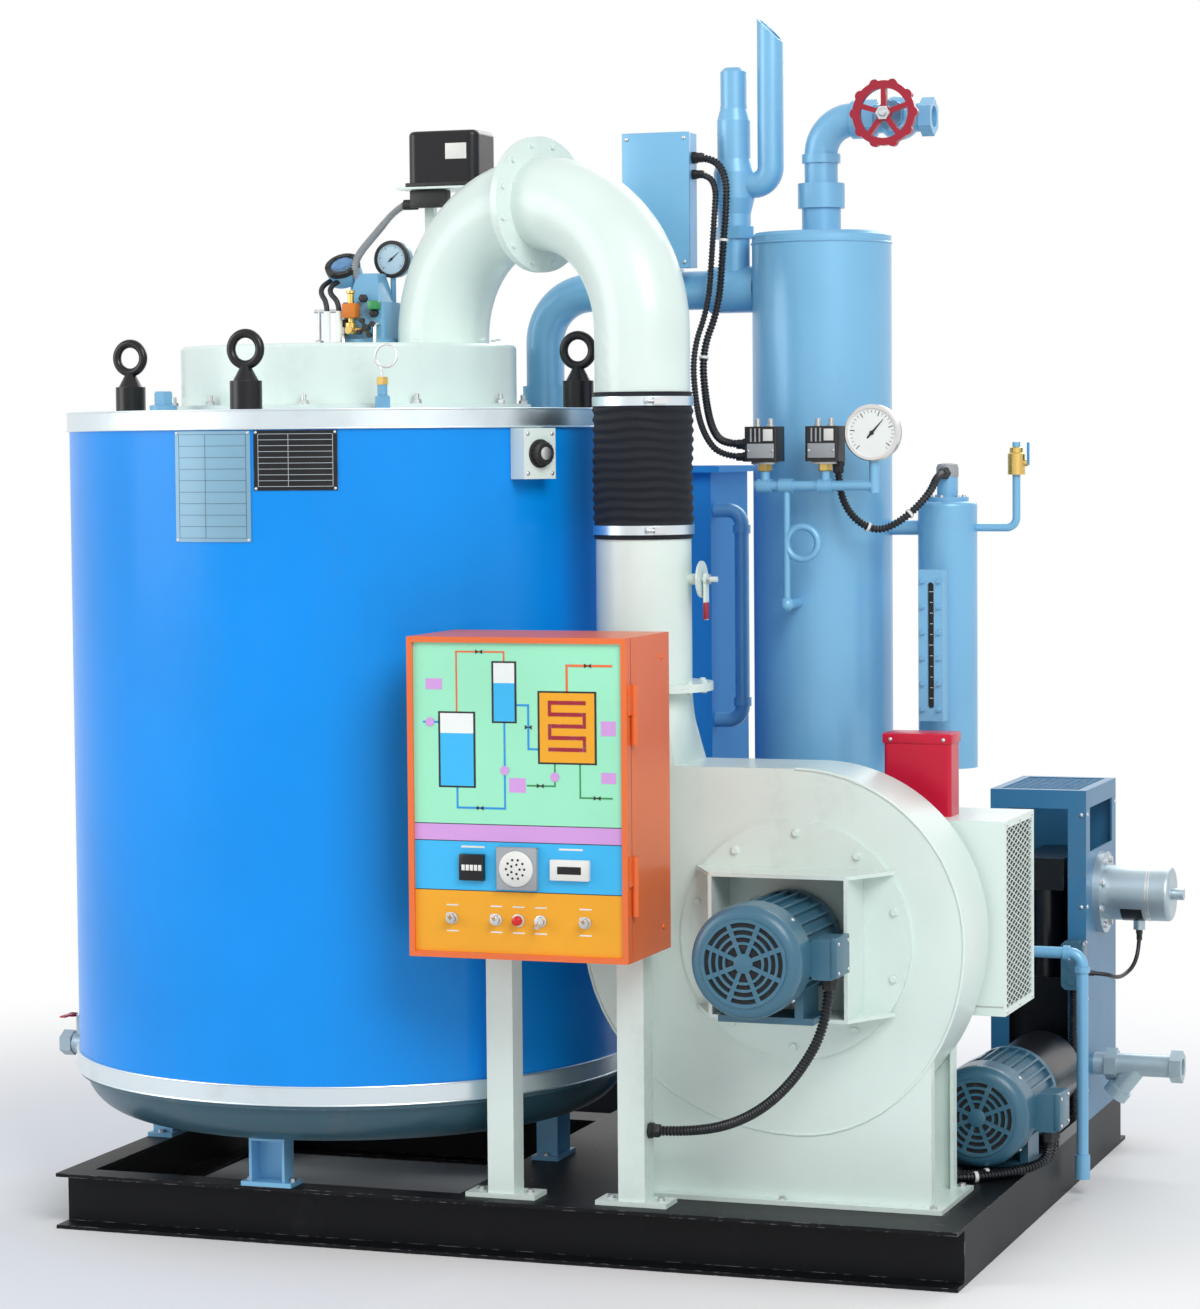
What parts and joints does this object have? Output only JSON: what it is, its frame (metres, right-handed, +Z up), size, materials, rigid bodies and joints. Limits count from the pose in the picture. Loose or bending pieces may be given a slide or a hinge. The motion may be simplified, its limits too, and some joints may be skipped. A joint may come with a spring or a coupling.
{
  "type": "skid-mounted steam boiler",
  "caption": "Vertical packaged steam boiler on a steel skid, with forced-draught fan and duct, steam separator, control cabinet, feed pump and valves.",
  "frame": {"origin": "on the floor under the middle of the skid", "axes": "+X along the skid to the right of the cabinet door, +Y to the back, +Z up"},
  "size_m": [2.4719, 1.975, 2.719],
  "materials": {
    "bright_band": "bright rolled strip",
    "burner_blue": "satin",
    "cabinet_orange": "gloss",
    "conduit_black": "corrugated",
    "cream_paint": "satin",
    "dish_grey": "satin",
    "eye_black": "gloss",
    "gauge_steel": "polished",
    "instrument_plastic": "moulded",
    "jacket_blue": "gloss",
    "motor_blue": "painted casting",
    "pipe_grey_blue": "satin",
    "signal_red": "gloss",
    "skid_black": "worn satin",
    "sleeve_fabric": "coated cloth"
  },
  "bodies": {
    "plant": {"blowdown_valve": "pipe_grey_blue", "boiler_bands": "bright_band", "boiler_bottom": "dish_grey", "boiler_jacket": "jacket_blue", "boiler_legs": "pipe_grey_blue", "boiler_top": "bright_band", "box_brackets": "cream_paint", "box_conduit": "conduit_black", "burner": "burner_blue", "cabinet_posts": "cream_paint", "column_fittings": "pipe_grey_blue", "control_cabinet": "cabinet_orange", "deck_plate": "skid_black", "duct_sleeve": "sleeve_fabric", "economizer": "jacket_blue", "electrode_conduit": "conduit_black", "fan_motor": "motor_blue", "fan_motor_bracket": "cream_paint", "fan_scroll": "cream_paint", "fan_stand": "cream_paint", "feed_pump": "motor_blue", "flow_sensor": "gauge_steel", "ignition_box": "signal_red", "inlet_box": "cream_paint", "junction_box": "pipe_grey_blue", "level_column": "pipe_grey_blue", "level_gauge": "pipe_grey_blue", "lifting_eyes": "eye_black", "lower_duct_elbow": "cream_paint", "motor_conduit": "conduit_black", "outlet_pipe": "pipe_grey_blue", "pressure_gauge": "gauge_steel", "pressure_manifold": "pipe_grey_blue", "pressure_switches": "eye_black", "pump_guard": "motor_blue", "pump_motor": "motor_blue", "relay_box": "eye_black", "riser_duct": "cream_paint", "safety_valve": "pipe_grey_blue", "sensor_conduit": "conduit_black", "separator_heads": "pipe_grey_blue", "separator_shell": "pipe_grey_blue", "skid_cross_rail": "skid_black", "skid_front_rear_rails": "skid_black", "skid_leg_rail": "skid_black", "skid_side_rails": "skid_black", "sleeve_clamps": "bright_band", "steam_pipe": "pipe_grey_blue", "stop_valve": "pipe_grey_blue", "strainer": "pipe_grey_blue", "terminal_boxes": "motor_blue", "thermostat": "cream_paint", "upper_duct_elbow": "cream_paint", "vent_pipe": "pipe_grey_blue", "water_pipes": "pipe_grey_blue", "windbox": "cream_paint"},
    "door": {"cabinet_door": "cabinet_orange", "door_instruments": "instrument_plastic"},
    "wheel": {"handwheel": "signal_red"},
    "lever": {"damper_lever": "cream_paint"}
  },
  "joints": [
    {"name": "door_hinge", "type": "hinge", "parent": "plant", "child": "door", "pos_m": [0.41298, -1.0695, 1.019], "axis": [0, 0, 1], "range_deg": [0, 110]},
    {"name": "stop_valve_wheel", "type": "hinge", "parent": "plant", "child": "wheel", "pos_m": [0.706, -0.18, 2.478], "axis": [0, -1, 0], "range_deg": [0, 1080]},
    {"name": "damper_turn", "type": "hinge", "parent": "plant", "child": "lever", "pos_m": [0.411, -0.58, 1.454], "axis": [1, 0, 0], "range_deg": [0, 90]}
  ]
}
